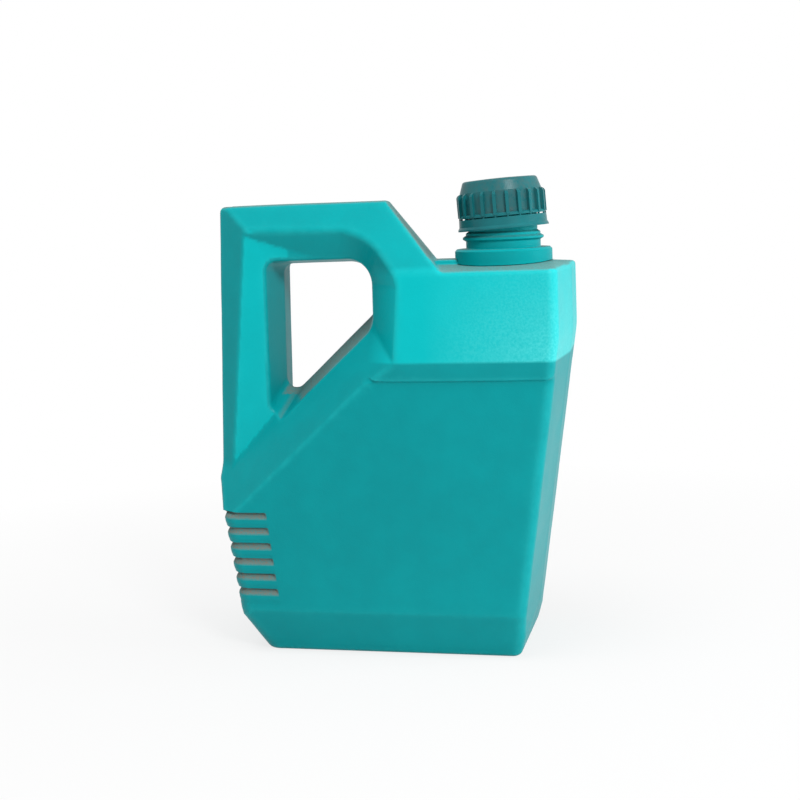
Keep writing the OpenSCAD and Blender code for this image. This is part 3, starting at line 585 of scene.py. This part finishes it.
def cap_plastic():
    """Smoother moulded cap: dark teal, dust in the valleys."""
    mat, nt, bsdf = nodes_of("cap_plastic")
    co = node(nt, "ShaderNodeTexCoord").outputs["Object"]
    slow = remap(nt, noise(nt, co, 40.0, 2.0), 0.3, 0.7, 0.0, 1.0)
    col = mix_color(nt, slow, (0.004, 0.120, 0.135), (0.006, 0.150, 0.165))
    ax = node(nt, "ShaderNodeVectorMath", operation="SUBTRACT")
    nt.links.new(co, ax.inputs[0])
    ax.inputs[1].default_value = (NECK_X * 0.001, 0.0, 0.0)
    sep = node(nt, "ShaderNodeSeparateXYZ")
    nt.links.new(ax.outputs[0], sep.inputs[0])
    squares = [math_node(nt, "POWER", sep.outputs[i], 2.0) for i in (0, 1)]
    rr = math_node(nt, "SQRT", math_node(nt, "ADD", *squares), 0.0)
    valley = remap(nt, rr, 0.0252, 0.0266, 1.0, 0.0)
    low = remap(nt, sep.outputs[2], 0.268, 0.2745, 1.0, 0.0)
    wear = remap(nt, noise(nt, co, 350.0, 4.0, 0.65), 0.4, 0.65, 0.25, 1.0)
    amount = math_node(nt, "ADD", math_node(nt, "MULTIPLY", low, 0.35), 0.32)
    dust = math_node(nt, "MULTIPLY", math_node(nt, "MULTIPLY", valley, wear), amount)
    col = mix_color(nt, dust, col, (0.085, 0.095, 0.088))
    nt.links.new(col, bsdf.inputs["Base Color"])
    plain_rough = math_node(nt, "ADD", math_node(nt, "MULTIPLY", slow, 0.05), 0.22)
    ro = math_node(nt, "ADD", math_node(nt, "MULTIPLY", dust, 0.5), plain_rough)
    nt.links.new(ro, bsdf.inputs["Roughness"])
    bsdf.inputs["Specular IOR Level"].default_value = 0.3
    bump = node(nt, "ShaderNodeBump")
    bump.inputs["Strength"].default_value = 0.15
    bump.inputs["Distance"].default_value = 0.0002
    nt.links.new(noise(nt, co, 900.0, 2.0), bump.inputs["Height"])
    nt.links.new(bump.outputs[0], bsdf.inputs["Normal"])
    return mat


def liner_foam():
    mat, nt, bsdf = nodes_of("liner_foam")
    co = node(nt, "ShaderNodeTexCoord").outputs["Object"]
    cells = noise(nt, co, 1800.0, 3.0)
    col = mix_color(nt, remap(nt, cells, 0.35, 0.65, 0.0, 1.0), (0.70, 0.70, 0.66), (0.80, 0.80, 0.77))
    nt.links.new(col, bsdf.inputs["Base Color"])
    bsdf.inputs["Roughness"].default_value = 0.6
    bump = node(nt, "ShaderNodeBump")
    bump.inputs["Strength"].default_value = 0.4
    bump.inputs["Distance"].default_value = 0.0002
    nt.links.new(cells, bump.inputs["Height"])
    nt.links.new(bump.outputs[0], bsdf.inputs["Normal"])
    return mat


def paint(ob, mat):
    ob.data.materials.clear()
    ob.data.materials.append(mat)
    for f in ob.data.polygons:
        f.material_index = 0


# Stage and light
GLOSSY_WHITE = 0.35


def camera_white(nt, shader, share):
    """Shows a share of a surface as plain white to the camera and, more weakly, in reflections."""
    lp = node(nt, "ShaderNodeLightPath")
    other = math_node(nt, "MAXIMUM", lp.outputs["Is Glossy Ray"], lp.outputs["Is Transmission Ray"])
    weak = math_node(nt, "MULTIPLY", other, GLOSSY_WHITE)
    seen = math_node(nt, "MAXIMUM", lp.outputs["Is Camera Ray"], weak)
    em = node(nt, "ShaderNodeEmission")
    em.inputs["Color"].default_value = (1, 1, 1, 1)
    em.inputs["Strength"].default_value = 1.0
    mix = node(nt, "ShaderNodeMixShader")
    nt.links.new(math_node(nt, "MULTIPLY", seen, share), mix.inputs[0])
    nt.links.new(shader, mix.inputs[1])
    nt.links.new(em.outputs[0], mix.inputs[2])
    return mix.outputs[0]


def stage():
    me = bpy.data.meshes.new("floor")
    me.from_pydata([(-6, -6, 0), (6, -6, 0), (6, 6, 0), (-6, 6, 0)], [], [(0, 1, 2, 3)])
    floor = bpy.data.objects.new("floor", me)
    bpy.context.scene.collection.objects.link(floor)
    mat, nt, bsdf = nodes_of("pale_floor")
    bsdf.inputs["Base Color"].default_value = (0.72, 0.72, 0.72, 1)
    bsdf.inputs["Roughness"].default_value = 0.9
    bsdf.inputs["Specular IOR Level"].default_value = 0.1
    far = node(nt, "ShaderNodeVectorMath", operation="LENGTH")
    nt.links.new(node(nt, "ShaderNodeTexCoord").outputs["Object"], far.inputs[0])
    share = remap(nt, far.outputs["Value"], 0.12, 0.6, 0.78, 1.0)
    nt.links.new(camera_white(nt, bsdf.outputs[0], share), nt.nodes["Material Output"].inputs[0])
    me.materials.append(mat)
    world = bpy.data.worlds.new("studio")
    bpy.context.scene.world = world
    world.use_nodes = True
    wt = world.node_tree
    wt.nodes.clear()
    out = node(wt, "ShaderNodeOutputWorld")
    soft = node(wt, "ShaderNodeBackground")
    soft.inputs["Color"].default_value = (1.0, 1.0, 1.0, 1)
    soft.inputs["Strength"].default_value = 0.42
    white = node(wt, "ShaderNodeBackground")
    white.inputs["Strength"].default_value = 1.0
    white.inputs["Color"].default_value = (1, 1, 1, 1)
    lp = node(wt, "ShaderNodeLightPath")
    glossy = math_node(wt, "MULTIPLY", lp.outputs["Is Glossy Ray"], GLOSSY_WHITE)
    seen = math_node(wt, "MAXIMUM", lp.outputs["Is Camera Ray"], glossy)
    mix = node(wt, "ShaderNodeMixShader")
    wt.links.new(seen, mix.inputs[0])
    wt.links.new(soft.outputs[0], mix.inputs[1])
    wt.links.new(white.outputs[0], mix.inputs[2])
    wt.links.new(mix.outputs[0], out.inputs[0])


def lamp(name, at, to, size, power, mirrored=True):
    data = bpy.data.lights.new(name, "AREA")
    data.shape = "RECTANGLE"
    data.size, data.size_y = size
    data.energy = power
    ob = bpy.data.objects.new(name, data)
    bpy.context.scene.collection.objects.link(ob)
    ob.location = at
    ob.visible_glossy = mirrored
    ob.rotation_euler = (Vector(to) - Vector(at)).to_track_quat("-Z", "Y").to_euler()


def lights():
    lamp("key", (0.85, -1.05, 1.0), (0.03, 0, 0.17), (0.40, 0.40), 13.0)
    lamp("side", (1.5, 0.1, 0.5), (0, 0, 0.15), (0.8, 0.8), 12.0, False)
    lamp("top", (-0.2, -0.35, 1.7), (0, 0, 0.15), (0.9, 0.9), 13.0, False)


# The object
add_camera()
stage()
lights()

shell = hdpe("hdpe_body", (0.0, 0.53, 0.555), (0.0, 0.262, 0.282), True)
plain = hdpe("hdpe_neck", (0.0, 0.42, 0.44), (0.0, 0.26, 0.28), False)

body = blown_body()
paint(body, shell)
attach(body, "jug")


def is_neck(c, n):
    r = np.hypot(c[:, 0] - NECK_X, c[:, 1])
    bore = (r < 28.3) & (np.abs(n[:, 2]) < 0.5)
    return (c[:, 2] > 232.0) & (r < 30.6) & ((c[:, 2] > 241.6) | (r > 29.5) | bore)


neck = cad_faces("jug_neck", "bottle", is_neck)
paint(neck, plain)
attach(neck, "jug")

inner = inner_skin()
paint(inner, plain)
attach(inner, "jug")
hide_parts("bottle")

paint(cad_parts["cap"], cap_plastic())
paint(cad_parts["cap_liner"], liner_foam())

scene = bpy.context.scene
scene.view_settings.view_transform = "Standard"
